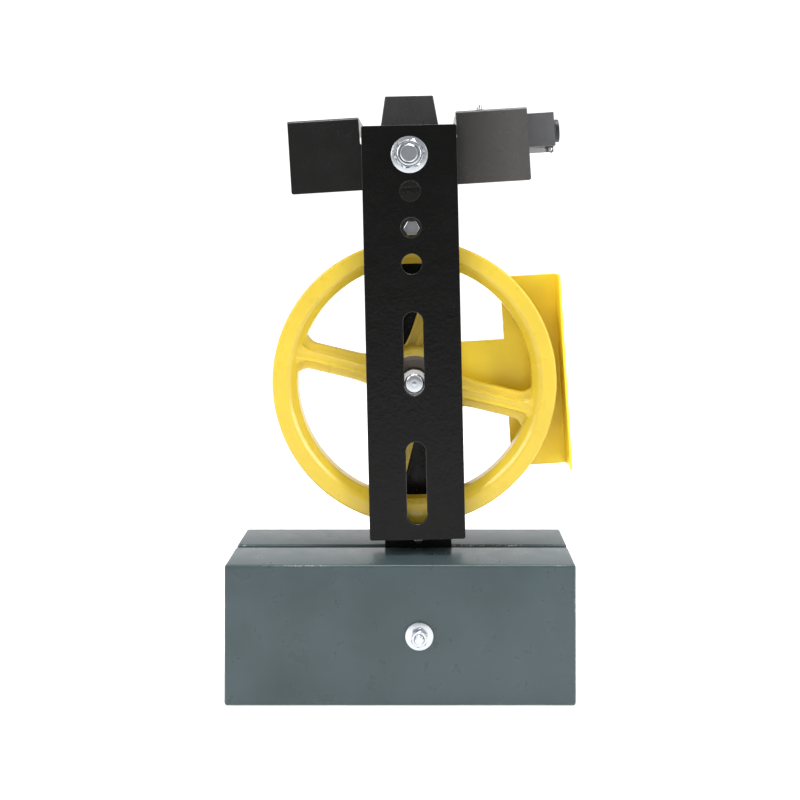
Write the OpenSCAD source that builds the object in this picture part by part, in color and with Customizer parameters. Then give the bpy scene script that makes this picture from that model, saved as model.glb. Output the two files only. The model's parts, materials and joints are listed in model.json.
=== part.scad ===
// Tension device for a lift governor rope, standing on its two weights.
// A swing arm carries the rope sheave; a bracket at the top clamps to a guide rail.
// X is right, Y is back and Z is up; the origin is on the floor, midway between the weights.

/* [Weights] */
// Width of each weight
weight_w = 300; // [260:5:330]
// Height of each weight
weight_h = 120; // [110:5:130]
// Thickness of each weight, front to back
weight_t = 52.5; // [45:0.5:60]
// Sheet thickness of a weight's case
case_wall = 2; // [1.5:0.5:3]
// How far right of the weights' middle their bolt sits
weight_bolt_x = 16.3; // [10:0.1:20]
// Radius of the weight bolt
weight_bolt_r = 4; // [4:0.5:6]

/* [Arm] */
// Width of the two arm plates
arm_w = 84; // [80:1:90]
// Thickness of the two arm plates
arm_t = 4; // [3:0.5:5]
// Lean of the arm, bottom end to the right, in degrees
arm_tilt = 1.25; // [0:0.05:2]
// Distance from pivot to weight bolt
hanger_drop = 412; // [405:1:420]
// Distance from pivot to axle
axle_drop = 201.5; // [200:0.5:203]
// Distance from pivot to the plates' bottom edge
plate_drop = 338; // [336:1:342]
// Height of the plates above the pivot
plate_rise = 26; // [24:1:28]
// Front face of the front plate, forward of the middle plane
front_y = 29.5; // [29:0.5:31]
// Radius of the spare holes in the front plate
spare_r = 9; // [8:0.5:10]
// Spacing of the spare holes, from the pivot down
spare_pitch = 32; // [30:1:33]
// Width of the two slots in the front plate
slot_w = 17.5; // [17.4:0.1:20]

/* [Sheave] */
// Pitch radius of the rope
pitch_r = 120; // [118:1:121]
// Radius of the rope
rope_r = 4; // [3:0.5:4]
// Outer radius of the sheave
sheave_r = 127; // [126:0.5:128]
// Width of the rim
rim_w = 30; // [26:1:30]
// Turn of the spokes about the axle, clockwise, in degrees
spoke_turn = 13.5; // [0:0.5:45]
// Width of a spoke's web
web_w = 24; // [20:1:28]
// Width of the rib along a spoke
rib_w = 11; // [8:1:14]
// Radius of the hub
hub_r = 32; // [30:0.5:34]

/* [Bracket] */
// Lean of the bracket, right end up, in degrees
bracket_tilt = 3.55; // [1:0.05:5]
// Half width of the bracket
bracket_half = 106; // [104:1:110]
// Top of the bracket above the pivot
bracket_rise = 36.3; // [36:0.1:38]
// Bottom of the bracket below the pivot
bracket_drop = 28.4; // [26:0.1:30]
// Sheet thickness of the bracket
bracket_t = 4; // [3.5:0.5:4]
// Depth of the bracket, front to back
bracket_depth = 140; // [120:5:160]
// Half width of the cut-out between the two wings
cutout_half = 43; // [42:0.5:45]

/* [Guard] */
// Lean of the guard about the axle, in degrees
guard_tilt = 3.6; // [0:0.1:5]
// Half height of the guard's broad plate
guard_half = 87.5; // [80:0.5:90]
// Distance from axle to the inner face of the guard's flange
guard_reach = 136; // [133:1:138]
// Forward depth of the guard's flange
guard_depth = 33; // [25:1:35]

/* [Hidden] */

$fn = 64;
eps = 0.01;
gap = 0.3;
through = 60; // reach of a cutter that goes right through
slack = 0.1;
m16_af = 24;
m16_washer_r = 15;
m16_washer_t = 2.5;
m16_head_t = 10;
m8_af = 13;
m8_head_t = 5.3;
m8_nut_t = 6.5;
m8_washer_t = 2;

weight_bolt_z = weight_h / 2;
pivot_x = weight_bolt_x - hanger_drop * sin(arm_tilt);
pivot_z = weight_bolt_z + hanger_drop * cos(arm_tilt);
axle_x = pivot_x + axle_drop * sin(arm_tilt);
axle_z = pivot_z - axle_drop * cos(arm_tilt);

// The planes from front to back
plate_front = -front_y;
plate_back = plate_front + arm_t;
wall_front = -24;
wall_back = wall_front + bracket_t;
rear_front = 25;
rear_back = rear_front + arm_t;
tongue_half = 3;
weight_in = tongue_half + gap;
weight_out = weight_in + weight_t;

pivot_bolt_r = 8;
sleeve_r = 11;
bush_r = 14;
bush_flange_r = 17;
bush_flange_t = 1.2;
running = 0.05;
axle_r = 8.5;
axle_thread_r = 8;

bearing_r = 23.5;
bearing_w = 14;
bearing_gap = 1;
bearing_end = bearing_gap + bearing_w;
inner_ring_r = 12.5;
outer_ring_in = 19.5;
ball_pitch_r = 16;
ball_r = ball_pitch_r - inner_ring_r - running;
ball_count = 8;
hub_half = 17;
circlip_t = 1.2;
circlip_r = 24.5;
guard_y = hub_half + 1;
guard_t = 2;

foot_top = axle_drop + sheave_r + 3;
foot_t = 6;
foot_half = 30;
lip_t = 6;
tongue_screw_drop = 344.2;
tongue_screw_r = 3;

striker_t = 5;
striker_top = 58.5;
striker_top_half = 22.2;
striker_taper = 9.4;
striker_foot = 78;
striker_foot_half = 16;
striker_bolt_drop = 2 * spare_pitch;
striker_bolt_r = 4;

switch_x0 = 52;
switch_x1 = 131.6;
switch_y0 = -6;
switch_y1 = 22;
switch_z1 = bracket_rise - bracket_t;
switch_z0 = switch_z1 - 30;
switch_wall = 3;
cavity_x0 = 74;
cover_t = 2;
cover_screw_r = 1.5;
cover_screw_xs = [switch_x0 + 5, switch_x1 - 5];
cover_screw_zs = [switch_z0 + 5, switch_z1 - 5];
screw_x = 66;
screw_r = 2;
screw_ys = [1.5, 18.4];
lever_pin_x = 127.5;
lever_pin_z = switch_z0 - 2.6;
lever_end_x = 50;
lever_half = 4;
lever_pin_r = 1.7;
button_x = 84;
button_r = 3;
button_y = 10;
collar_z = switch_z0 + switch_wall + 0.2;
collar_t = 1.5;

// ---- Places ----
module at_arm() translate([pivot_x, 0, pivot_z]) rotate([0, -arm_tilt, 0]) children();
module at_axle() at_arm() translate([0, 0, -axle_drop]) children();
module at_bracket() translate([pivot_x, 0, pivot_z]) rotate([0, -bracket_tilt, 0]) children();
module at_guard() translate([axle_x, 0, axle_z]) rotate([0, -guard_tilt, 0]) children();
module at_weight_bolt() translate([weight_bolt_x, 0, weight_bolt_z]) children();

// ---- Shapes ----
// An outline in X and Z, as a plate from y0 to y1
module upright(y0, y1) {
    translate([0, y1, 0]) rotate([90, 0, 0]) linear_extrude(y1 - y0) children();
}

module rod(r, y0, y1) {
    translate([0, y0, 0]) rotate([-90, 0, 0]) cylinder(r = r, h = y1 - y0);
}

module tube(r_out, r_in, y0, y1) {
    difference() {
        rod(r_out, y0, y1);
        rod(r_in, y0 - 1, y1 + 1);
    }
}

// A hexagon of width af across its flats
module hex(af, y0, y1) {
    translate([0, y0, 0]) rotate([-90, 0, 0]) cylinder(r = af / sqrt(3), h = y1 - y0, $fn = 6);
}

module rounded(x0, z0, x1, z1, r) {
    translate([x0 + r, z0]) square([x1 - x0 - 2 * r, z1 - z0]);
    translate([x0, z0 + r]) square([x1 - x0, z1 - z0 - 2 * r]);
    for (x = [x0 + r, x1 - r], z = [z0 + r, z1 - r]) translate([x, z]) circle(r);
}

module slot(width, z_top, z_bottom) {
    r = width / 2;
    rounded(-r, z_bottom, r, z_top, r - eps);
}

module box(x0, y0, z0, x1, y1, z1) {
    translate([x0, y0, z0]) cube([x1 - x0, y1 - y0, z1 - z0]);
}

// ---- Bracket ----
module wall_outline() {
    notch_r = 2.5;
    notch_bottom = 11.5;
    centre_top = 24;
    difference() {
        rounded(-bracket_half, -bracket_drop, bracket_half, bracket_rise - bracket_t, 2);
        translate([-cutout_half, centre_top]) square([2 * cutout_half, bracket_rise]);
        for (side = [-1, 1]) translate([side * (cutout_half - notch_r), notch_bottom + notch_r]) {
            circle(notch_r);
            translate([-notch_r, 0]) square([2 * notch_r, bracket_rise]);
        }
        circle(bush_r);
    }
}

module rail_bracket() {
    clip_x = 82;
    clip_first = 58;
    clip_pitch = 60;
    clip_ys = [wall_back + clip_first, wall_back + clip_first + clip_pitch];
    clip_r = 6.5;
    bend_r = 3;
    back_y = wall_front + bracket_depth;
    back_strip = 26;
    flange_z = bracket_rise - bracket_t;
    color("#1c1c1e") at_bracket() difference() {
        union() {
            upright(wall_front, wall_back) wall_outline();
            for (side = [-1, 1]) {
                x0 = side > 0 ? cutout_half : -bracket_half;
                wing = bracket_half - cutout_half;
                box(x0, wall_front + bend_r, flange_z, x0 + wing, back_y, bracket_rise);
                box(x0, wall_front, flange_z - 2, x0 + wing, wall_back, bracket_rise - bend_r);
                translate([x0, wall_front + bend_r, bracket_rise - bend_r]) rotate([0, 90, 0])
                    cylinder(r = bend_r, h = wing);
            }
            box(-bracket_half, back_y - back_strip, flange_z, bracket_half, back_y, bracket_rise);
        }
        for (x = [-clip_x, clip_x], y = clip_ys) translate([x, y, 0]) cylinder(r = clip_r, h = through);
        for (y = screw_ys) translate([screw_x, y, 0]) cylinder(r = screw_r + slack, h = through);
    }
}

module pivot_bush() {
    color("#a8843c") at_bracket() difference() {
        union() {
            rod(bush_r, wall_front, wall_back);
            rod(bush_flange_r, wall_front - bush_flange_t, wall_front);
        }
        rod(sleeve_r + running, -through, through);
    }
}

// ---- Limit switch ----
module switch_body() {
    lug_t = 3;
    lug_half = 3;
    lug_drop = 2.4;
    color("#3a3a3c") at_bracket() difference() {
        box(switch_x0, switch_y0, switch_z0, switch_x1, switch_y1, switch_z1);
        box(cavity_x0, switch_y0 + switch_wall, switch_z0 + switch_wall,
            switch_x1 - switch_wall, switch_y1 + 1, switch_z1 - switch_wall);
        for (y = screw_ys) translate([screw_x, y, -through]) cylinder(r = screw_r, h = 2 * through);
        translate([button_x, button_y, -through / 2]) cylinder(r = button_r + running, h = through);
    }
    color("#3a3a3c") at_bracket() for (y = [button_y - lever_half - lug_t - gap, button_y + lever_half + gap])
        difference() {
            box(lever_pin_x - lug_half, y, lever_pin_z - lug_drop, lever_pin_x + lug_half, y + lug_t,
                switch_z0);
            translate([lever_pin_x, 0, lever_pin_z]) rod(lever_pin_r, -through, through);
        }
}

module switch_cover() {
    color("#303033") at_bracket() difference() {
        upright(switch_y1, switch_y1 + cover_t)
            rounded(switch_x0, switch_z0, switch_x1, switch_z1 - 0.5, 1.5);
        for (x = cover_screw_xs, z = cover_screw_zs) translate([x, 0, z]) rod(cover_screw_r, 0, through);
    }
}

module cover_screws() {
    head_r = 2.6;
    head_t = 1.2;
    color("#b9bcc0") at_bracket()
        for (x = cover_screw_xs, z = cover_screw_zs) translate([x, 0, z]) {
            rod(head_r, switch_y1 + cover_t, switch_y1 + cover_t + head_t);
            rod(cover_screw_r, switch_y1, switch_y1 + cover_t);
        }
}

module switch_contacts() {
    z0 = switch_z0 + 16;
    z1 = z0 + 4;
    bar_w = 8;
    bar_end = 15;
    stud_r = 2.5;
    stud_l = 4;
    color("#b8903c") at_bracket() for (x = [92, 106]) {
        box(x, switch_y0 + switch_wall, z0, x + bar_w, bar_end, z1);
        translate([x + bar_w / 2, 0, (z0 + z1) / 2]) rod(stud_r, bar_end, bar_end + stud_l);
    }
}

module switch_screws() {
    head_r = 3.4;
    head_t = 2.4;
    nut_af = 7;
    nut_t = 3;
    standing = 7;
    color("#c3c6ca") at_bracket() for (y = screw_ys) translate([screw_x, y, 0]) {
        translate([0, 0, switch_z0 - head_t]) cylinder(r = head_r, h = head_t);
        translate([0, 0, switch_z0]) cylinder(r = screw_r, h = bracket_rise + standing - switch_z0);
        translate([0, 0, bracket_rise]) cylinder(r = nut_af / sqrt(3), h = nut_t, $fn = 6);
    }
}

module switch_cap() {
    rim_r = 11.2;
    rim_t = 1.6;
    cap_r = 10.4;
    cap_t = 5.2;
    cap_height = 14.3;
    pit_r = 1.5;
    pit_depth = 1;
    color("#17171a") at_bracket() translate([switch_x1, button_y, switch_z0 + cap_height])
        rotate([0, 90, 0]) difference() {
            union() {
                cylinder(r = rim_r, h = rim_t);
                cylinder(r = cap_r, h = cap_t);
            }
            translate([0, 0, cap_t - pit_depth]) cylinder(r = pit_r, h = 2 * pit_depth);
        }
}

module lever_pin() {
    pin_half = 8;
    color("#c8cacd") at_bracket() translate([lever_pin_x, 0, lever_pin_z])
        rod(lever_pin_r, button_y - pin_half, button_y + pin_half);
}

module switch_lever() {
    lever_t = 1;
    strap_z0 = lever_pin_z - 2.6;
    strap_z1 = lever_pin_z - 1.4;
    side_top = switch_z0 - 1.4;
    side_l = 26;
    knuckle_r = 2.6;
    tip_r = 1.2;
    y0 = button_y - lever_half;
    y1 = button_y + lever_half;
    color("#c9ccd0") at_bracket() difference() {
        union() {
            box(lever_end_x, y0, strap_z0, lever_pin_x, y1, strap_z1);
            for (y = [y0, y1 - lever_t])
                box(lever_pin_x - side_l, y, strap_z0, lever_pin_x, y + lever_t, side_top);
            translate([lever_pin_x, 0, lever_pin_z]) rod(knuckle_r, y0, y1);
            translate([lever_end_x, 0, (strap_z0 + strap_z1) / 2]) rod(tip_r, y0, y1);
        }
        translate([lever_pin_x, 0, lever_pin_z]) rod(lever_pin_r + running, -through, through);
    }
}

module switch_button() {
    collar_r = 4.5;
    stem_r = 2.1;
    stem_l = 6;
    tip_z = lever_pin_z - 1.1;
    color("#2b2b2e") at_bracket() translate([button_x, button_y, 0]) {
        translate([0, 0, tip_z]) cylinder(r = button_r, h = collar_z - tip_z);
        translate([0, 0, collar_z]) cylinder(r = collar_r, h = collar_t);
        translate([0, 0, collar_z]) cylinder(r = stem_r, h = stem_l);
    }
}

module button_spring() {
    z0 = collar_z + collar_t;
    coil_r = 3;
    coil_in = 2.4;
    color("#b0b3b7") at_bracket() translate([button_x, button_y, z0]) difference() {
        cylinder(r = coil_r, h = switch_z1 - switch_wall - z0);
        translate([0, 0, -1]) cylinder(r = coil_in, h = through);
    }
}

// ---- Arm ----
module plate_outline() {
    rounded(-arm_w / 2, -plate_drop, arm_w / 2, plate_rise, 2);
}

module front_arm_plate() {
    upper_slot_top = 138;
    upper_slot_l = 73.5;
    lower_slot_top = 252;
    lower_slot_l = 72.5;
    color("#19191b") at_arm() difference() {
        upright(plate_front, plate_back) difference() {
            plate_outline();
            slot(slot_w, -upper_slot_top, -upper_slot_top - upper_slot_l);
            slot(slot_w, -lower_slot_top, -lower_slot_top - lower_slot_l);
        }
        rod(pivot_bolt_r + slack, -through, through);
        for (i = [1:3]) translate([0, 0, -i * spare_pitch]) rod(spare_r, -through, 0);
    }
}

module rear_arm_plate() {
    color("#19191b") at_arm() difference() {
        upright(rear_front, rear_back) plate_outline();
        rod(pivot_bolt_r + slack, 0, through);
        translate([0, 0, -axle_drop]) rod(axle_thread_r + slack, 0, through);
        translate([0, 0, -striker_bolt_drop]) rod(striker_bolt_r, 0, through);
    }
}

module striker_plate() {
    waist_half = striker_top_half + striker_top * tan(striker_taper);
    color("#2a2a2c") at_arm() difference() {
        upright(rear_front - striker_t, rear_front)
            polygon([[-striker_top_half, striker_top], [striker_top_half, striker_top],
                     [waist_half, 0], [waist_half, -spare_pitch / 2],
                     [striker_foot_half, -striker_foot], [-striker_foot_half, -striker_foot],
                     [-waist_half, -spare_pitch / 2], [-waist_half, 0]]);
        rod(pivot_bolt_r + slack, 0, through);
        translate([0, 0, -striker_bolt_drop]) rod(striker_bolt_r, 0, through);
    }
}

module striker_bolt() {
    head_y = rear_front - striker_t;
    end_y = rear_back + 9;
    color("#c6c9cd") at_arm() translate([0, 0, -striker_bolt_drop]) {
        hex(m8_af, head_y - m8_head_t, head_y);
        rod(striker_bolt_r, head_y, end_y);
        tube(m8_af / sqrt(3), striker_bolt_r, rear_back, rear_back + m8_nut_t);
    }
}

module pivot_sleeve() {
    collar_r = 15;
    collar_y = wall_back + gap;
    collar_w = 5;
    color("#9ea1a6") at_arm() difference() {
        union() {
            rod(sleeve_r, plate_back, rear_front - striker_t);
            rod(collar_r, collar_y, collar_y + collar_w);
        }
        rod(pivot_bolt_r + slack, -through, through);
    }
}

module pivot_bolt() {
    nut_side = 17;
    color("#c6c9cd") at_arm() {
        rod(pivot_bolt_r, plate_front - nut_side, rear_back + m16_washer_t);
        hex(m16_af, rear_back + m16_washer_t, rear_back + m16_washer_t + m16_head_t);
    }
}

module pivot_washer() {
    color("#c6c9cd") at_arm() tube(m16_washer_r, pivot_bolt_r, rear_back, rear_back + m16_washer_t);
}

module pivot_nut() {
    flange_r = 16.2;
    flange_t = 2.2;
    hex_end = 12.5;
    collar_r = 10.6;
    collar_end = 15;
    color("#ccd0d4") at_arm() difference() {
        union() {
            rod(flange_r, plate_front - flange_t, plate_front);
            hex(m16_af, plate_front - hex_end, plate_front - flange_t);
            rod(collar_r, plate_front - collar_end, plate_front - hex_end);
        }
        rod(pivot_bolt_r, -through, through);
    }
}

module hanger_foot() {
    lip_half = 10;
    lip_drop = 349;
    color("#19191b") at_arm() {
        box(-foot_half, plate_back, -foot_top - foot_t, foot_half, rear_front, -foot_top);
        difference() {
            box(-lip_half, tongue_half, -lip_drop, lip_half, tongue_half + lip_t, -foot_top - foot_t);
            translate([0, 0, -tongue_screw_drop]) rod(tongue_screw_r, -through, through);
        }
    }
}

module hanger_tongue() {
    below_bolt = 38;
    color("#19191b") at_arm() difference() {
        upright(-tongue_half, tongue_half) 
            rounded(-foot_half, -hanger_drop - below_bolt, foot_half, -foot_top - foot_t, 1);
        translate([0, 0, -tongue_screw_drop]) rod(tongue_screw_r, -through, through);
        translate([0, 0, -hanger_drop]) rod(weight_bolt_r + running, -through, through);
    }
}

module tongue_screw() {
    head_r = 5;
    head_t = 3;
    color("#cdd0d4") at_arm() translate([0, 0, -tongue_screw_drop]) {
        rod(head_r, -tongue_half - head_t, -tongue_half);
        rod(tongue_screw_r, -tongue_half, tongue_half + lip_t);
    }
}

// ---- Axle ----
module axle() {
    front_set_back = 1.5;
    thread_l = 20;
    color("#b5b8bc") at_axle() {
        rod(axle_r, plate_front + front_set_back, rear_front);
        rod(axle_thread_r, rear_front, rear_back + thread_l);
    }
}

module axle_spacers() {
    rear_spacer_r = 15.5;
    color("#d8d3c4") at_axle() {
        tube(inner_ring_r, axle_r, plate_back, -bearing_end);
        tube(inner_ring_r, axle_r, -bearing_gap, bearing_gap);
        tube(inner_ring_r, axle_r, bearing_end, guard_y);
        tube(rear_spacer_r, axle_r, guard_y + guard_t, rear_front);
    }
}

module axle_washer() {
    color("#c6c9cd") at_axle() tube(m16_washer_r, axle_thread_r, rear_back, rear_back + m16_washer_t);
}

module axle_nut() {
    hex_end = 14;
    collar_r = 10.8;
    collar_end = 17;
    color("#c6c9cd") at_axle() difference() {
        union() {
            hex(m16_af, rear_back + m16_washer_t, rear_back + hex_end);
            rod(collar_r, rear_back + hex_end, rear_back + collar_end);
        }
        rod(axle_thread_r, 0, 2 * through);
    }
}

module bearing_ring(r_out, r_in) {
    for (y = [-bearing_end, bearing_gap]) tube(r_out, r_in, y, y + bearing_w);
}

module inner_rings() {
    color("#d3d5d8") at_axle() bearing_ring(inner_ring_r, axle_r);
}

module outer_rings() {
    color("#c3c6ca") at_axle() bearing_ring(bearing_r, outer_ring_in);
}

module bearing_balls() {
    color("#e2e4e6") at_axle() for (side = [-1, 1], i = [0:ball_count - 1])
        rotate([0, i * 360 / ball_count, 0])
            translate([ball_pitch_r, side * (bearing_gap + bearing_w / 2), 0]) sphere(ball_r);
}

module bearing_seals() {
    seal_in = inner_ring_r + gap;
    seal_t = 1;
    color("#82735f") at_axle() for (y = [-bearing_end, bearing_end - seal_t])
        tube(outer_ring_in, seal_in, y, y + seal_t);
}

module circlips() {
    clip_in = 21;
    mouth = 4;
    color("#4a4642") at_axle() for (y = [-bearing_end - circlip_t, bearing_end])
        difference() {
            tube(circlip_r, clip_in, y, y + circlip_t);
            box(-mouth / 2, y - 1, 0, mouth / 2, y + circlip_t + 1, 2 * circlip_r);
        }
}

module rope_guard() {
    tongue_half_w = 30;
    plate_in = 84;
    corner_r = 1.5;
    color("#e8b81e") at_guard() difference() {
        union() {
            upright(guard_y, guard_y + guard_t) {
                circle(tongue_half_w);
                translate([0, -tongue_half_w]) square([plate_in + 2 * corner_r, 2 * tongue_half_w]);
                rounded(plate_in, -guard_half, guard_reach, guard_half, corner_r);
            }
            box(guard_reach - guard_t, guard_y + guard_t - guard_depth, -guard_half,
                guard_reach, guard_y + guard_t, guard_half);
        }
        rod(axle_r, 0, through);
    }
}

// ---- Sheave ----
module sheave() {
    crease_r = 114;
    rim_in = 106;
    neck = 8;
    spoke_r = rim_in + 2;
    web_half = 4;
    groove_r = rope_r + gap;
    groove_half = 7;
    half = rim_w / 2;
    color("#e3bd35") at_axle() rotate([0, spoke_turn, 0]) difference() {
        union() {
            rotate([90, 0, 0]) rotate_extrude($fn = 128) difference() {
                polygon([[rim_in, -neck], [crease_r, -half], [sheave_r, -half],
                         [sheave_r, half], [crease_r, half], [rim_in, neck]]);
                polygon([[pitch_r, -groove_r], [sheave_r + 1, -groove_half], [sheave_r + 1, groove_half],
                         [pitch_r, groove_r]]);
                translate([pitch_r + gap, 0]) circle(groove_r);
            }
            rod(hub_r, -hub_half, hub_half);
            for (turn = [0, 90]) rotate([0, turn, 0]) {
                box(-spoke_r, -web_half, -web_w / 2, spoke_r, web_half, web_w / 2);
                box(-spoke_r, -neck, -rib_w / 2, spoke_r, neck, rib_w / 2);
            }
        }
        for (side = [-1, 1]) {
            rod(bearing_r, side > 0 ? bearing_gap : -through, side > 0 ? through : -bearing_gap);
            rod(circlip_r, side > 0 ? bearing_end : -bearing_end - circlip_t,
                side > 0 ? bearing_end + circlip_t : -bearing_end);
        }
        rod(outer_ring_in, -through, through);
    }
}

// ---- Weights ----
module weight_case(y0, y1) {
    difference() {
        box(-weight_w / 2, y0, 0, weight_w / 2, y1, weight_h);
        box(-weight_w / 2 + case_wall, y0 + case_wall, case_wall,
            weight_w / 2 - case_wall, y1 - case_wall, weight_h - case_wall);
        at_weight_bolt() rod(weight_bolt_r, -2 * through, 2 * through);
    }
}

module weight_fill(y0, y1) {
    difference() {
        box(-weight_w / 2 + case_wall, y0 + case_wall, case_wall,
            weight_w / 2 - case_wall, y1 - case_wall, weight_h - case_wall);
        at_weight_bolt() rod(weight_bolt_r, -2 * through, 2 * through);
    }
}

module front_case() color("#66727a") weight_case(-weight_out, -weight_in);
module rear_case() color("#66727a") weight_case(weight_in, weight_out);
module front_fill() color("#8c8478") weight_fill(-weight_out, -weight_in);
module rear_fill() color("#8c8478") weight_fill(weight_in, weight_out);

module weight_bolt() {
    nut_side = 12;
    color("#c6c9cd") at_weight_bolt() {
        rod(weight_bolt_r, -weight_out - nut_side, weight_out + m8_washer_t);
        hex(m8_af, weight_out + m8_washer_t, weight_out + m8_washer_t + m8_head_t);
    }
}

module weight_washers() {
    washer_r = 12;
    color("#b9bcc0") at_weight_bolt() {
        tube(washer_r, weight_bolt_r, -weight_out - m8_washer_t, -weight_out);
        tube(washer_r, weight_bolt_r, weight_out, weight_out + m8_washer_t);
    }
}

module weight_nut() {
    nut_t = 7;
    color("#d5d8db") at_weight_bolt() difference() {
        hex(m8_af, -weight_out - m8_washer_t - nut_t, -weight_out - m8_washer_t);
        rod(weight_bolt_r, -2 * through, 0);
    }
}

rail_bracket();
pivot_bush();
switch_body();
switch_cover();
switch_contacts();
switch_screws();
cover_screws();
switch_cap();
lever_pin();
switch_lever();
switch_button();
button_spring();
front_arm_plate();
rear_arm_plate();
striker_plate();
striker_bolt();
pivot_sleeve();
pivot_bolt();
pivot_washer();
pivot_nut();
hanger_foot();
hanger_tongue();
tongue_screw();
axle();
axle_spacers();
axle_washer();
axle_nut();
inner_rings();
rope_guard();
sheave();
outer_rings();
bearing_balls();
bearing_seals();
circlips();
front_case();
rear_case();
front_fill();
rear_fill();
weight_bolt();
weight_washers();
weight_nut();
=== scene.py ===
import json
import math

import bmesh
import bpy
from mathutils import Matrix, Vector


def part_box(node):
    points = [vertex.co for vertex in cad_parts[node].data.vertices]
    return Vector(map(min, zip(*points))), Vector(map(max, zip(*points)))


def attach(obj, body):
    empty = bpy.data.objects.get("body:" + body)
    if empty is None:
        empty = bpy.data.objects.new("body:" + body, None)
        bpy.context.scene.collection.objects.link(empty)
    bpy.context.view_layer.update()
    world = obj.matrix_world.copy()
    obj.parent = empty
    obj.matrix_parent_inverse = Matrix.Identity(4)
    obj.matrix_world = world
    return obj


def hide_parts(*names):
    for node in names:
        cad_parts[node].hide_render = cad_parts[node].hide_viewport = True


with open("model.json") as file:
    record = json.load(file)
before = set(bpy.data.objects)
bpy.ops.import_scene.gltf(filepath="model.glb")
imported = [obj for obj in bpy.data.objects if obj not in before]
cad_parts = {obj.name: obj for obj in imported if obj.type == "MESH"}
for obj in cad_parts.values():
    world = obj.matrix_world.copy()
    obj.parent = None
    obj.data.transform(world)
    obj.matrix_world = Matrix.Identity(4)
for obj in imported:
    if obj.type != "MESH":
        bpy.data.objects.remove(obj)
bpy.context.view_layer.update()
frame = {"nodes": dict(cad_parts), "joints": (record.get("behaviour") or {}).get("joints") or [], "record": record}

MM = 0.001
RECORD = frame["record"]
JOINTS = {j["name"]: j for j in frame["joints"]}
BODY_OF = {n: b for b, names in RECORD["behaviour"]["bodies"].items() for n in names}
SLOT_OF = {s["node"]: s["material_slot"] for s in RECORD["subparts"]}


# ---------------------------------------------------------------- materials
class Nodes:
    """A material's node tree, with short calls that add and join its nodes."""

    def __init__(self, name):
        self.material = bpy.data.materials.new(name)
        self.material.use_nodes = True
        self.tree = self.material.node_tree
        self.shader = self.tree.nodes["Principled BSDF"]
        self.place = self.add("ShaderNodeTexCoord").outputs["Object"]

    def add(self, kind, **settings):
        node = self.tree.nodes.new(kind)
        for key, value in settings.items():
            setattr(node, key, value)
        return node

    def link(self, source, target):
        self.tree.links.new(source, target)
        return source

    def set(self, **sockets):
        for key, value in sockets.items():
            self.shader.inputs[key.replace("_", " ")].default_value = value

    def noise(self, scale, detail=3.0, rough=0.55, stretch=None):
        """Noise with a pattern of the given number of repeats per metre."""
        node = self.add("ShaderNodeTexNoise")
        node.inputs["Scale"].default_value = scale
        node.inputs["Detail"].default_value = detail
        node.inputs["Roughness"].default_value = rough
        place = self.place
        if stretch:
            mapping = self.add("ShaderNodeMapping")
            mapping.inputs["Scale"].default_value = stretch
            self.link(self.place, mapping.inputs["Vector"])
            place = mapping.outputs["Vector"]
        self.link(place, node.inputs["Vector"])
        return node.outputs["Fac"]

    def ramp(self, source, *stops):
        node = self.add("ShaderNodeValToRGB")
        elements = node.color_ramp.elements
        while len(elements) < len(stops):
            elements.new(0.5)
        for element, (where, colour) in zip(elements, stops):
            element.position = where
            element.color = (*colour, 1.0) if len(colour) == 3 else colour
        self.link(source, node.inputs["Fac"])
        return node.outputs["Color"]

    def span(self, source, low, high, from_low=0.3, from_high=0.7):
        node = self.add("ShaderNodeMapRange")
        node.inputs["From Min"].default_value = from_low
        node.inputs["From Max"].default_value = from_high
        node.inputs["To Min"].default_value = low
        node.inputs["To Max"].default_value = high
        self.link(source, node.inputs["Value"])
        return node.outputs["Result"]

    def math(self, operation, a, b):
        node = self.add("ShaderNodeMath", operation=operation)
        for socket, value in zip(node.inputs, (a, b)):
            if isinstance(value, (int, float)):
                socket.default_value = value
            else:
                self.link(value, socket)
        return node.outputs["Value"]

    def mix(self, factor, a, b):
        node = self.add("ShaderNodeMix", data_type="RGBA")
        self.link(factor, node.inputs["Factor"])
        for socket, value in ((node.inputs[6], a), (node.inputs[7], b)):
            if isinstance(value, tuple):
                socket.default_value = (*value, 1.0)
            else:
                self.link(value, socket)
        return node.outputs[2]

    def bumps(self, *layers):
        """Each layer is a height source, its strength and its depth in metres."""
        below = None
        for source, strength, depth in layers:
            node = self.add("ShaderNodeBump")
            node.inputs["Strength"].default_value = strength
            node.inputs["Distance"].default_value = depth
            self.link(source, node.inputs["Height"])
            if below:
                self.link(below, node.inputs["Normal"])
            below = node.outputs["Normal"]
        self.link(below, self.shader.inputs["Normal"])


def shade(colour, factor):
    return tuple(min(1.0, c * factor) for c in colour)


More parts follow.
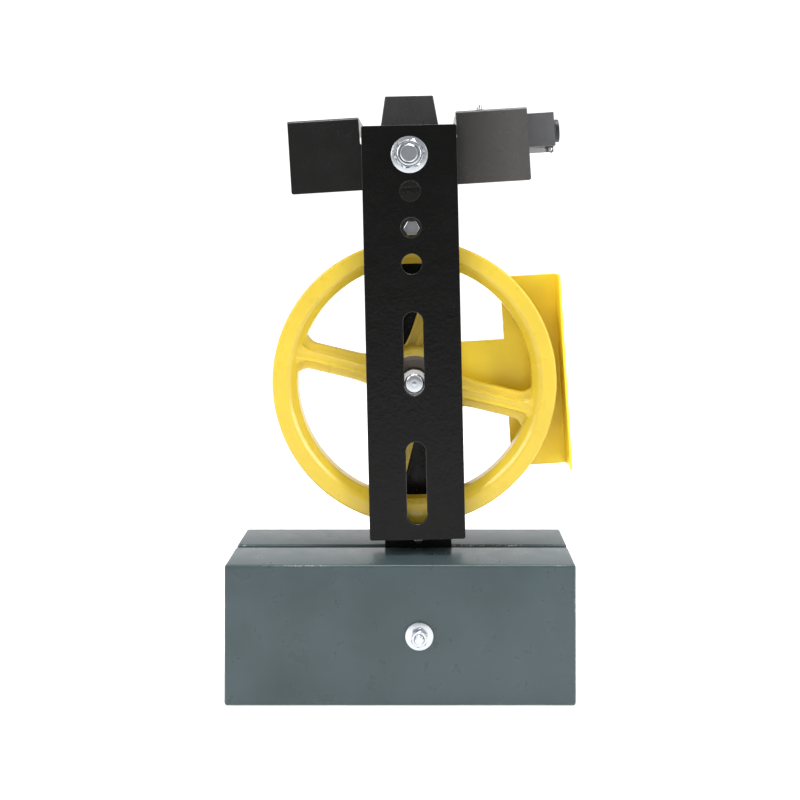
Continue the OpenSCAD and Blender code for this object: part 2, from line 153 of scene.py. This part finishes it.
def painted(name, colour, rough=(0.35, 0.5), peel=500, depth=0.0002, strength=0.25, dirt=0.82,
            coat=0.0, shine=0.5, wear=None, painted_sheen=None):
    """Paint or powder coat: broad tone changes, fine orange peel, and chips along a box's edges.
    The last argument is a colour, and the X where it starts and where it is full: a painted sheen, paint turning
    lighter towards +X that stands in for reflected light."""
    m = Nodes(name)
    broad = m.noise(14, 4)
    fine = m.noise(peel, 2)
    tone = m.ramp(broad, (0.3, shade(colour, dirt)), (0.55, colour), (0.8, shade(colour, 1.1)))
    # Painted sheen: the paint turns lighter towards +X, standing in for reflected light.
    if painted_sheen:
        split = m.add("ShaderNodeSeparateXYZ")
        m.link(m.place, split.inputs["Vector"])
        tone = m.mix(m.span(split.outputs["X"], 0.0, 1.0, painted_sheen[1], painted_sheen[2]), tone, painted_sheen[0])
    roughness = m.span(m.noise(60, 5), rough[0], rough[1])
    if wear:
        chips = edge_wear(m, *wear)
        tone = m.mix(chips, tone, (0.50, 0.52, 0.54))
    m.link(tone, m.shader.inputs["Base Color"])
    m.link(roughness, m.shader.inputs["Roughness"])
    m.bumps((m.noise(peel * 0.3, 2), strength * 0.6, depth * 2), (fine, strength, depth))
    m.set(Coat_Weight=coat, Coat_Roughness=0.15, Specular_IOR_Level=shine)
    return m.material


def edge_wear(m, low, high, reach):
    """A mask that is 1 in broken flecks within reach of the edges of the box from low to high."""
    split = m.add("ShaderNodeSeparateXYZ")
    m.link(m.place, split.inputs["Vector"])
    nears = []
    for axis in range(3):
        middle, half = (low[axis] + high[axis]) / 2, (high[axis] - low[axis]) / 2
        away = m.math("ABSOLUTE", m.math("SUBTRACT", split.outputs[axis], middle), 0.0)
        nears.append(m.span(away, 0.0, 1.0, half - reach, half))
    pairs = [m.math("MULTIPLY", nears[a], nears[b]) for a, b in ((0, 1), (1, 2), (0, 2))]
    near = m.math("MAXIMUM", m.math("MAXIMUM", pairs[0], pairs[1]), pairs[2])
    flecks = m.span(m.noise(420, 6, 0.7), 0.0, 1.0, 0.40, 0.66)
    runs = m.span(m.noise(22, 3), 0.12, 1.0, 0.45, 0.68)
    mask = m.math("MULTIPLY", m.math("MULTIPLY", near, flecks), runs)
    return m.span(mask, 0.0, 0.85, 0.08, 0.4)


def metal(name, colour, rough=(0.2, 0.38), grain=None, tint=0.86, scale=90):
    """Bare or plated metal: cloudy tone and roughness, and a fine grain."""
    m = Nodes(name)
    cloud = m.noise(scale, 4)
    m.link(m.ramp(cloud, (0.3, shade(colour, tint)), (0.7, colour)), m.shader.inputs["Base Color"])
    m.link(m.span(m.noise(scale * 3, 4), rough[0], rough[1]), m.shader.inputs["Roughness"])
    m.bumps((m.noise(scale * 8, 3, stretch=grain), 0.05, 0.00005))
    m.set(Metallic=1.0)
    return m.material


def plastic(name, colour, rough=(0.4, 0.55), grain=900):
    m = Nodes(name)
    m.link(m.ramp(m.noise(40, 4), (0.3, shade(colour, 0.85)), (0.7, shade(colour, 1.12))),
           m.shader.inputs["Base Color"])
    m.link(m.span(m.noise(120, 4), rough[0], rough[1]), m.shader.inputs["Roughness"])
    m.bumps((m.noise(grain, 2), 0.25, 0.0001))
    return m.material


def concrete(name, colour):
    m = Nodes(name)
    m.link(m.ramp(m.noise(220, 6, 0.7), (0.35, shade(colour, 0.7)), (0.65, shade(colour, 1.15))),
           m.shader.inputs["Base Color"])
    m.bumps((m.noise(400, 6), 0.6, 0.0005))
    m.set(Roughness=0.9)
    return m.material


WEAR_REACH = 1.9 * MM
FINISHES = {"outer_rings": "dusty_ring", "circlips": "dusty_ring", "striker_plate": "striker_coat"}
# Plates whose rounded edges get the lighter edge paint, a painted highlight.
HIGHLIGHT_PAINTED_EDGES = ("front_arm_plate", "rear_arm_plate", "striker_plate", "rail_bracket")
MATERIALS = {
    # The bracket's paint turns lighter from X 0.03 m to 0.10 m: a painted sheen on the right wing, standing in for
    # reflected light.
    "bracket_coat": painted("bracket_coat", (0.005, 0.0048, 0.0045), (0.20, 0.30), 520, 0.0002, 0.35,
                            shine=0.45, painted_sheen=((0.068, 0.065, 0.062), 0.03, 0.10)),
    "arm_coat": painted("arm_coat", (0.0036, 0.0036, 0.0034), (0.20, 0.30), 300, 0.0005, 0.5, shine=0.18),
    # Lighter, glossier paint for the plates' rounded edges: the glossiness is real, the lighter colour is a
    # painted highlight on the edges.
    "painted_highlight_edge": painted("painted_highlight_edge", (0.035, 0.035, 0.036), (0.16, 0.26), 340, 0.0001, 0.2, shine=1.0),
    "striker_coat": painted("striker_coat", (0.032, 0.032, 0.033), (0.24, 0.36), 420, 0.0002, 0.4),
    "zinc_hardware": metal("zinc_hardware", (0.63, 0.66, 0.70), (0.20, 0.27), tint=0.92),
    "ground_steel": metal("ground_steel", (0.66, 0.65, 0.63), (0.2, 0.34), (1, 12, 1)),
    "bright_lever": metal("bright_lever", (0.90, 0.90, 0.89), (0.14, 0.22), tint=0.94),
    "bronze": metal("bronze", (0.55, 0.38, 0.16), (0.3, 0.5)),
    "contact_brass": metal("contact_brass", (0.75, 0.56, 0.24), (0.25, 0.4)),
    "switch_case": plastic("switch_case", (0.082, 0.083, 0.088), (0.4, 0.55)),
    "switch_black": plastic("switch_black", (0.012, 0.012, 0.013), (0.35, 0.5)),
    "seal_rubber": plastic("seal_rubber", (0.22, 0.185, 0.155), (0.5, 0.7), 1500),
    "dusty_ring": plastic("dusty_ring", (0.25, 0.21, 0.175), (0.45, 0.65), 1500),
    "spring_steel": metal("spring_steel", (0.20, 0.185, 0.17), (0.35, 0.5)),
    "guard_yellow": painted("guard_yellow", (1.0, 0.75, 0.032), (0.3, 0.42), 520, 0.00015, 0.2, 0.92),
    "sheave_yellow": painted("sheave_yellow", (0.71, 0.51, 0.040), (0.24, 0.38), 260, 0.0003, 0.3, 0.92,
                             coat=0.3),
    "weight_fill": concrete("weight_fill", (0.35, 0.33, 0.30)),
}


def weight_paint(node):
    low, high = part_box(node)
    return painted("weight_enamel_" + node, (0.052, 0.076, 0.083), (0.26, 0.34), 300, 0.0001, 0.08,
                   0.78, coat=0.05, shine=0.35, wear=(low, high, WEAR_REACH))


# ---------------------------------------------------------------- mesh helpers
def smooth(mesh, angle=32):
    """Smooth shading, with edges sharper than the angle kept crisp."""
    mesh.polygons.foreach_set("use_smooth", [True] * len(mesh.polygons))
    mesh.set_sharp_from_angle(angle=math.radians(angle))


def piece(name, bm, like, material=None, angle=32):
    """Makes bm into a piece that stands for the CAD node like, on its body and in its slot."""
    bmesh.ops.recalc_face_normals(bm, faces=bm.faces)
    mesh = bpy.data.meshes.new(name)
    bm.to_mesh(mesh)
    bm.free()
    smooth(mesh, angle)
    mesh.materials.append(material or MATERIALS[SLOT_OF[like]])
    made = bpy.data.objects.new(name, mesh)
    bpy.context.scene.collection.objects.link(made)
    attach(made, BODY_OF[like])
    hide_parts(like)
    return made


def cad_copy(node):
    """The CAD node's mesh, joined up and with its flat faces whole."""
    bm = bmesh.new()
    bm.from_mesh(frame["nodes"][node].data)
    bmesh.ops.remove_doubles(bm, verts=bm.verts, dist=0.004 * MM)
    bmesh.ops.dissolve_limit(bm, angle_limit=math.radians(0.4), verts=bm.verts, edges=bm.edges)
    return bm


def dressed(node, width, segments=2, angle=40, material=None):
    """The CAD node again, with its hard edges rounded as sheet, bar or mouldings have them."""
    bm = cad_copy(node)
    sharp = [e for e in bm.edges if e.is_manifold and e.calc_face_angle() > math.radians(angle)]
    # The listed plates get the lighter edge paint on their rounded edges, a painted highlight.
    edge_highlight = node in HIGHLIGHT_PAINTED_EDGES
    bmesh.ops.bevel(bm, geom=sharp, offset=width, segments=segments, profile=0.5, affect="EDGES",
                    clamp_overlap=True, material=1 if edge_highlight else 0)
    made = piece(node + "_finished", bm, node, material, angle=15)
    if edge_highlight:
        made.data.materials.append(MATERIALS["painted_highlight_edge"])
    return made


def ring(bm, count, radius, along, place):
    """One closed ring of vertices. place turns (along, radius, angle) into a point."""
    verts = []
    for i in range(count):
        turn = 2 * math.pi * i / count
        r = radius(turn) if callable(radius) else radius
        verts.append(bm.verts.new(place(along, r, turn)))
    return verts


def skin(bm, rings, closed=False):
    """Faces between neighbouring rings, capped at both ends unless the rings close on themselves."""
    count = len(rings[0])
    pairs = list(zip(rings, rings[1:])) + ([(rings[-1], rings[0])] if closed else [])
    for a, b in pairs:
        for i in range(count):
            j = (i + 1) % count
            bm.faces.new((a[i], a[j], b[j], b[i]))
    if not closed:
        bm.faces.new(rings[0])
        bm.faces.new(list(reversed(rings[-1])))


def about_y(centre):
    """Turns (along, radius, angle) into a point, round the line through centre along Y."""
    def place(along, r, turn):
        return Vector((centre[0] + r * math.cos(turn), along, centre[2] + r * math.sin(turn)))
    return place


def lathe(bm, profile, place, count=96, closed=True):
    """A turned solid. profile is a list of (along, radius); closed joins its end to its start."""
    skin(bm, [ring(bm, count, r, along, place) for along, r in profile], closed)


def centre_of(node):
    low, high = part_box(node)
    return (low + high) / 2


def threaded(bm, place, start, end, radius, pitch, count=40):
    """A threaded shank from start to end along its line, with chamfered ends."""
    depth = 0.55 * pitch
    steps = max(8, int(abs(end - start) / pitch * 8))
    rings = []
    for s in range(steps + 1):
        along = start + (end - start) * s / steps
        edge = min(abs(along - start), abs(along - end))
        limit = radius - max(0.0, depth - edge)

        def reach(turn, along=along, limit=limit):
            phase = (along / pitch - turn / (2 * math.pi)) % 1.0
            return min(limit, radius - depth * (1 - abs(2 * phase - 1)))
        rings.append(ring(bm, count, reach, along, place))
    skin(bm, rings)


def hexagon(bm, place, start, end, flats, bore, face=0.12, turned=0.0, count=96):
    """A hexagon nut or head with chamfered corners. bore 0 makes it solid."""
    low, high = min(start, end), max(start, end)
    half = flats / 2

    def side(limit):
        def reach(turn):
            wedge = (turn - turned) % (math.pi / 3) - math.pi / 6
            return min(half / math.cos(wedge), limit)
        return reach
    corner = half / math.cos(math.pi / 6)
    levels = [(low, half * 0.96), (low + flats * 0.02, half * 1.0), (low + flats * 0.075, corner),
              (high - flats * 0.075, corner), (high - flats * 0.02, half * 1.0), (high, half * 0.96)]
    rings = [ring(bm, count, side(limit), along, place) for along, limit in levels]
    if bore:
        mouth = bore + 0.5 * MM
        rings = ([ring(bm, count, bore, low + 0.4 * MM, place), ring(bm, count, mouth, low, place)]
                 + rings
                 + [ring(bm, count, mouth, high, place), ring(bm, count, bore, high - 0.4 * MM, place)])
        skin(bm, rings, closed=True)
    else:
        skin(bm, rings)


def disc(bm, place, start, end, outer, inner, round_by=0.4 * MM, count=96):
    """A washer or a ring with rounded edges."""
    low, high = min(start, end), max(start, end)
    profile = [(low, inner + round_by), (low, outer - round_by),
               (low + round_by * 0.3, outer - round_by * 0.3),
               (low + round_by, outer), (high - round_by, outer),
               (high - round_by * 0.3, outer - round_by * 0.3), (high, outer - round_by),
               (high, inner + round_by), (high - round_by, inner), (low + round_by, inner)]
    lathe(bm, profile, place, count)


# ---------------------------------------------------------------- sheave
def merged(name, bm, voxel, rounds):
    """Joins the overlapping solids in bm into one skin and softens it as a casting is."""
    mesh = bpy.data.meshes.new(name)
    bm.to_mesh(mesh)
    bm.free()
    raw = bpy.data.objects.new(name, mesh)
    bpy.context.scene.collection.objects.link(raw)
    remesh = raw.modifiers.new("remesh", "REMESH")
    remesh.mode = "VOXEL"
    remesh.voxel_size = voxel
    soften = raw.modifiers.new("soften", "SMOOTH")
    soften.factor = 0.5
    soften.iterations = rounds
    out = bmesh.new()
    out.from_object(raw, bpy.context.evaluated_depsgraph_get())
    bpy.data.objects.remove(raw)
    bpy.data.meshes.remove(mesh)
    return out


def bar(bm, place, length, half_width, half_depth, draft, start=0.0):
    """A straight bar out from the hub, narrower at its faces by draft, flaring at both ends."""
    steps = 24
    rings = []
    for s in range(steps + 1):
        t = s / steps
        out = start + (length - start) * t
        flare = 1 + 0.9 * max(0.0, (t - 0.84) / 0.16) ** 2 + 0.35 * max(0.0, (0.42 - t) / 0.42) ** 2
        w, d = half_width * flare, half_depth
        inner = w - draft
        section = [(-w, -d * 0.35), (-inner, -d), (inner, -d), (w, -d * 0.35),
                   (w, d * 0.35), (inner, d), (-inner, d), (-w, d * 0.35)]
        rings.append([bm.verts.new(place(out, a, b)) for a, b in section])
    skin(bm, rings)


def make_sheave():
    axis = Vector(JOINTS["sheave_spin"]["pos_m"])
    low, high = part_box("sheave")
    outer = (high.z - low.z) / 2
    hub_half = (high.y - low.y) / 2
    half = hub_half - 2 * MM
    place = about_y(axis)
    bearing = (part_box("outer_rings")[1].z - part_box("outer_rings")[0].z) / 2
    bm = bmesh.new()
    groove = [(math.sin(a) * 4.3 * MM, outer - 6.7 * MM - math.cos(a) * 4.3 * MM)
              for a in [math.radians(d) for d in range(-70, 71, 14)]]
    rim = [(-7 * MM, outer - 21.5 * MM), (-12.5 * MM, outer - 16.5 * MM), (-half, outer - 13 * MM),
           (-half, outer - 1.2 * MM), (-half + 1.2 * MM, outer), (-7.6 * MM, outer)]
    rim += groove
    rim += [(-a, r) for a, r in reversed(rim[:6])]
    lathe(bm, rim, place, 256)
    hub_r = 32 * MM
    lathe(bm, [(-hub_half, bearing), (-hub_half, hub_r - 2.5 * MM), (-hub_half + 2 * MM, hub_r - 0.6 * MM),
               (0, hub_r + 1.2 * MM), (hub_half - 2 * MM, hub_r - 0.6 * MM), (hub_half, hub_r - 2.5 * MM),
               (hub_half, bearing)], place, 128)
    spoke_turn = math.radians(-13.5)
    for quarter in range(4):
        turn = spoke_turn + quarter * math.pi / 2
        out = Vector((math.cos(turn), 0, math.sin(turn)))
        across = Vector((-math.sin(turn), 0, math.cos(turn)))

        def along(o, a, b, out=out, across=across):
            return axis + out * o + across * a + Vector((0, b, 0))
        bar(bm, along, outer - 19.5 * MM, 12.2 * MM, 4.6 * MM, 1.6 * MM, 27 * MM)
        bar(bm, along, outer - 19 * MM, 5.4 * MM, 8.8 * MM, 0.8 * MM, 27 * MM)
        for offset in (-3.6 * MM, 3.6 * MM):
            def beside(o, a, b, along=along, offset=offset):
                return along(o, a + offset, b)
            bar(bm, beside, outer - 20 * MM, 1.1 * MM, 10.0 * MM, 0.5 * MM, 30 * MM)
    casting = merged("casting", bm, 0.8 * MM, 1)
    return piece("sheave_casting", casting, "sheave", angle=60)


# ---------------------------------------------------------------- weights
def make_weight(node):
    low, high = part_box(node)
    bm = bmesh.new()
    bmesh.ops.create_cube(bm, size=1.0)
    for v in bm.verts:
        v.co = Vector([low[i] if v.co[i] < 0 else high[i] for i in range(3)])
    bmesh.ops.bevel(bm, geom=list(bm.edges), offset=2.4 * MM, segments=5, profile=0.5, affect="EDGES")
    return piece(node + "_enamelled", bm, node, weight_paint(node))


# ---------------------------------------------------------------- hardware
def lock_nut(node, joint, forward):
    """A lock nut with its nylon collar on the side that forward names, -1 to the front."""
    low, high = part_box(node)
    place = about_y(Vector(JOINTS[joint]["pos_m"]))
    seat, tip = (high.y, low.y) if forward < 0 else (low.y, high.y)
    bm = bmesh.new()
    flanged = node == "pivot_nut"
    body = seat + forward * (2.4 * MM if flanged else 0.0)
    crown = tip - forward * 2.6 * MM
    hexagon(bm, place, body, crown, 24 * MM, 8.05 * MM, turned=math.radians(12))
    if flanged:
        flange = 16.2 * MM
        lathe(bm, [(seat, 8.1 * MM), (seat, flange - 0.4 * MM), (seat + forward * 0.5 * MM, flange),
                   (seat + forward * 1.1 * MM, flange), (seat + forward * 2.6 * MM, 12.0 * MM),
                   (seat + forward * 2.6 * MM, 8.1 * MM)], place)
    lathe(bm, [(crown - forward * 0.5 * MM, 8.1 * MM), (crown - forward * 0.5 * MM, 11 * MM),
               (crown + forward * 0.7 * MM, 11 * MM), (tip - forward * 0.4 * MM, 10.4 * MM),
               (tip, 9.6 * MM), (tip, 8.7 * MM), (tip - forward * 0.5 * MM, 8.1 * MM)], place)
    return piece(node + "_detailed", bm, node)


def make_bolt(node, centre, radius, pitch, flats, head_t, shank_from):
    """A hexagon bolt with its head at the back and thread up to shank_from from its front end."""
    low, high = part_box(node)
    place = about_y(centre)
    bm = bmesh.new()
    threaded(bm, place, low.y, shank_from, radius, pitch)
    lathe(bm, [(shank_from - 0.01 * MM, radius - 0.2 * MM), (shank_from + 0.4 * MM, radius),
               (high.y - head_t + 0.2 * MM, radius)], place, closed=False)
    hexagon(bm, place, high.y - head_t, high.y, flats, 0)
    return piece(node + "_threaded", bm, node)


def make_weight_hardware():
    centre = Vector(JOINTS["weight_swing"]["pos_m"])
    place = about_y(centre)
    low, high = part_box("weight_nut")
    bm = bmesh.new()
    hexagon(bm, place, low.y, high.y, 13 * MM, 4.05 * MM, turned=math.radians(20))
    piece("weight_nut_detailed", bm, "weight_nut")
    low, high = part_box("weight_washers")
    bm = bmesh.new()
    disc(bm, place, low.y, low.y + 2 * MM, 12 * MM, 4.1 * MM)
    disc(bm, place, high.y - 2 * MM, high.y, 12 * MM, 4.1 * MM)
    piece("weight_washers_detailed", bm, "weight_washers")
    thread_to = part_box("weight_bolt")[0].y + 24 * MM
    make_bolt("weight_bolt", centre, 4 * MM, 1.25 * MM, 13 * MM, 5.3 * MM, thread_to)


def make_tongue_screw():
    low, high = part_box("tongue_screw")
    place = about_y(centre_of("tongue_screw"))
    seat = low.y + 3 * MM
    bm = bmesh.new()
    profile = [(low.y + 1.6 * MM, 0.6 * MM), (low.y + 1.6 * MM, 1.9 * MM), (low.y, 2.3 * MM)]
    profile += [(seat - 3 * MM * math.cos(a), 5 * MM * (0.46 + 0.54 * math.sin(a)))
                for a in [math.radians(d) for d in (15, 35, 55, 75, 90)]]
    profile += [(seat, 3 * MM), (high.y - 0.8 * MM, 3 * MM), (high.y, 2.3 * MM)]
    skin(bm, [ring(bm, 64, r, along, place) for along, r in profile])
    piece("tongue_screw_detailed", bm, "tongue_screw")


def make_axle():
    """The axle with a turned and slightly domed front end, and its plain shank at the back."""
    low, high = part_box("axle")
    place = about_y(Vector(JOINTS["sheave_spin"]["pos_m"]))
    bm = bmesh.new()
    front = [(0.0, 0.4), (0.05, 1.4), (0.14, 1.6), (0.1, 2.6), (0.16, 4.4), (0.34, 6.2),
             (0.55, 6.9), (0.8, 7.0), (0.8, 7.4), (0.6, 7.5), (0.75, 7.9), (1.4, 8.5)]
    profile = [(low.y + a * MM, r * MM) for a, r in front]
    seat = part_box("rear_arm_plate")[0].y
    profile += [(seat, 8.5 * MM), (seat, 8.0 * MM), (high.y - 1.2 * MM, 8.0 * MM), (high.y, 6.9 * MM)]
    lathe(bm, profile, place, 72, closed=False)
    piece("axle_turned", bm, "axle", MATERIALS["zinc_hardware"])


def make_seals():
    place = about_y(Vector(JOINTS["sheave_spin"]["pos_m"]))
    low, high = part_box("bearing_seals")
    bm = bmesh.new()
    for face, inward in ((low.y, 1), (high.y, -1)):
        steps = [(0.25, 12.9), (0.0, 13.4), (0.0, 14.4), (0.35, 14.8), (0.35, 17.0), (0.0, 17.5), (0.0, 19.2),
                 (0.3, 19.45), (1.0, 19.45), (1.0, 12.9)]
        lathe(bm, [(face + inward * a * MM, r * MM) for a, r in steps], place, 96)
    piece("bearing_seals_ribbed", bm, "bearing_seals")


def make_spring():
    """The button's return spring, wound as real wire."""
    low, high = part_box("button_spring")
    up = Vector(JOINTS["button_travel"]["axis"]).normalized()
    side = Vector((0, 1, 0))
    other = up.cross(side)
    middle = (low + high) / 2
    wire, radius, turns, per_turn = 0.3 * MM, 2.7 * MM, 8, 24
    length = (high.z - low.z) - 5 * wire
    rings = []
    bm = bmesh.new()
    total = turns * per_turn
    for i in range(total + 1):
        t = 2 * math.pi * i / per_turn
        outward = (side * math.cos(t) + other * math.sin(t))
        centre = middle + up * (length * (i / total - 0.5)) + outward * radius
        rings.append([bm.verts.new(centre + outward * wire * math.cos(a) + up * wire * math.sin(a))
                      for a in [2 * math.pi * k / 8 for k in range(8)]])
    skin(bm, rings)
    piece("button_spring_wound", bm, "button_spring")


def finish_cad():
    """Rounds the edges of the plates, bars and mouldings whose CAD shape is right."""
    widths = {
        "front_arm_plate": 0.7, "rear_arm_plate": 0.6, "striker_plate": 0.9, "rail_bracket": 0.7,
        "hanger_foot": 0.5, "hanger_tongue": 0.6, "rope_guard": 0.45, "switch_body": 0.6,
        "switch_cover": 0.5, "switch_cap": 0.5, "switch_lever": 0.25, "axle_spacers": 0.3,
        "axle_washer": 0.3, "pivot_washer": 0.3, "pivot_bush": 0.3, "pivot_sleeve": 0.3,
        "inner_rings": 0.4, "outer_rings": 0.4, "circlips": 0.15, "cover_screws": 0.3,
        "switch_screws": 0.2, "switch_contacts": 0.3, "lever_pin": 0.3, "switch_button": 0.3,
        "striker_bolt": 0.4,
    }
    for node, width in widths.items():
        dressed(node, width * MM, 3 if width > 0.5 else 2, material=MATERIALS.get(FINISHES.get(node)))
    for node in ("bearing_balls", "front_fill", "rear_fill"):
        frame["nodes"][node].data.materials.clear()
        frame["nodes"][node].data.materials.append(MATERIALS[SLOT_OF[node]])


# ---------------------------------------------------------------- studio
def make_camera():
    data = bpy.data.cameras.new("camera")
    data.sensor_width = 36.0
    data.lens = 46.5
    data.shift_x = -0.035
    data.shift_y = -0.2
    camera = bpy.data.objects.new("camera", data)
    bpy.context.scene.collection.objects.link(camera)
    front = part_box("front_case")[0].y
    camera.location = (0.0237, front - 0.880, 0.397)
    camera.rotation_euler = (math.radians(90), 0, 0)
    bpy.context.scene.camera = camera


def make_floor():
    """A pale floor that curves up into a backdrop far behind."""
    near, far, half, rise, radius = -4.0, 5.0, 9.0, 5.0, 2.5
    path = [(near, 0.0), (far, 0.0)]
    path += [(far + radius * math.sin(a), radius * (1 - math.cos(a)))
             for a in [math.radians(d) for d in range(10, 91, 10)]]
    path += [(far + radius, rise)]
    bm = bmesh.new()
    rows = [[bm.verts.new((x, y, z)) for x in (-half, half)] for y, z in path]
    for a, b in zip(rows, rows[1:]):
        bm.faces.new((a[0], a[1], b[1], b[0]))
    mesh = bpy.data.meshes.new("floor")
    bm.to_mesh(mesh)
    bm.free()
    smooth(mesh, 60)
    m = Nodes("floor")
    m.link(m.ramp(m.noise(2, 2), (0.3, (0.83, 0.83, 0.83)), (0.7, (0.86, 0.86, 0.86))),
           m.shader.inputs["Base Color"])
    m.set(Roughness=0.7, Emission_Color=(1.0, 1.0, 1.0, 1.0))
    split = m.add("ShaderNodeSeparateXYZ")
    m.link(m.place, split.inputs["Vector"])
    m.link(m.span(split.outputs["Y"], 0.15, 0.62, -0.6, 0.6), m.shader.inputs["Emission Strength"])
    mesh.materials.append(m.material)
    floor = bpy.data.objects.new("floor", mesh)
    bpy.context.scene.collection.objects.link(floor)


def make_lamp(name, place, aim, size, power):
    data = bpy.data.lights.new(name, "AREA")
    data.shape = "RECTANGLE"
    data.size, data.size_y = size
    data.energy = power
    lamp = bpy.data.objects.new(name, data)
    bpy.context.scene.collection.objects.link(lamp)
    lamp.location = place
    lamp.rotation_euler = (Vector(aim) - Vector(place)).to_track_quat("-Z", "Y").to_euler()


def make_light():
    middle = (0, 0, 0.28)
    make_lamp("overhead", (0.1, -0.2, 1.9), middle, (1.5, 0.6), 30)
    make_lamp("left", (-1.5, -1.2, 1.1), middle, (0.5, 1.3), 15)
    make_lamp("right", (1.6, -1.1, 0.9), middle, (0.5, 1.3), 17)
    world = bpy.data.worlds.new("studio")
    world.use_nodes = True
    tree = world.node_tree
    background = tree.nodes["Background"]
    background.inputs["Color"].default_value = (1.0, 1.0, 1.0, 1.0)
    direction = tree.nodes.new("ShaderNodeTexCoord")
    split = tree.nodes.new("ShaderNodeSeparateXYZ")
    depth = tree.nodes.new("ShaderNodeMapRange")
    depth.inputs["From Min"].default_value = -1.0
    depth.inputs["To Min"].default_value = 0.35
    depth.inputs["To Max"].default_value = 0.9
    tree.links.new(direction.outputs["Generated"], split.inputs["Vector"])
    tree.links.new(split.outputs["Y"], depth.inputs["Value"])
    tree.links.new(depth.outputs["Result"], background.inputs["Strength"])
    bpy.context.scene.world = world
    bpy.context.scene.view_settings.view_transform = "Standard"


make_camera()
finish_cad()
make_sheave()
make_weight("front_case")
make_weight("rear_case")
lock_nut("pivot_nut", "arm_swing", -1)
lock_nut("axle_nut", "sheave_spin", 1)
make_bolt("pivot_bolt", Vector(JOINTS["arm_swing"]["pos_m"]), 8 * MM, 2 * MM, 24 * MM, 10 * MM,
          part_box("front_arm_plate")[0].y + 2 * MM)
make_weight_hardware()
make_tongue_screw()
make_axle()
make_seals()
make_spring()
make_floor()
make_light()
